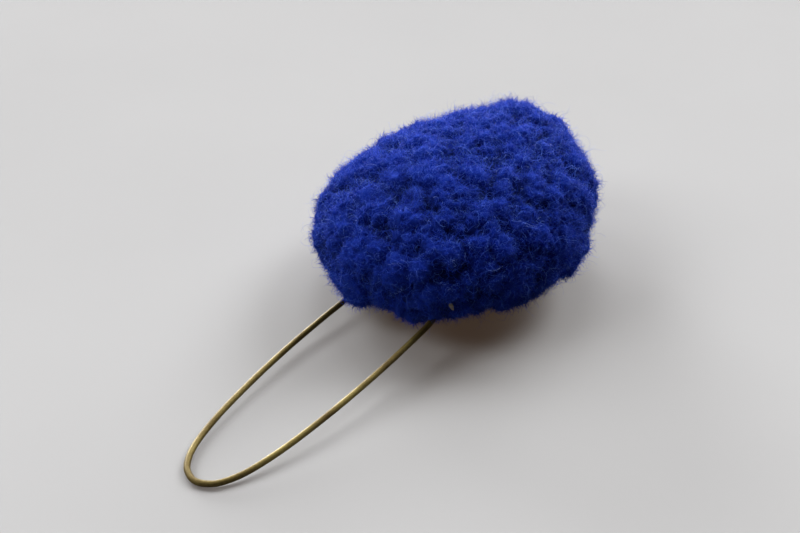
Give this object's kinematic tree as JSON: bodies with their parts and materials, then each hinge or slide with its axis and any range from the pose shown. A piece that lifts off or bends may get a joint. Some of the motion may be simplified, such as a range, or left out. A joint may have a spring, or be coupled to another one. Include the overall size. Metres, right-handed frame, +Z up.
{
  "type": "wool pompom tassel on a wire loop",
  "caption": "Oval blue wool pompom of trimmed locks on a thin brass wire loop, lying on its back; a hat or bag trimming that slips behind a band by its loop.",
  "frame": {"origin": "on the surface that the pompom lies on, under the middle of its back", "axes": "+Y from the wire loop towards the wool's free end, +Z up out of the wool's front, +X to the right seen from the loop"},
  "size_m": [0.0482, 0.0983, 0.0276],
  "materials": {
    "blue_wool": "fuzzy, matt royal blue wool",
    "aged_brass": "aged brass with an olive brown bloom"
  },
  "bodies": {
    "root": {"wool_pompom": "blue_wool", "wire_loop": "aged_brass"}
  },
  "joints": []
}
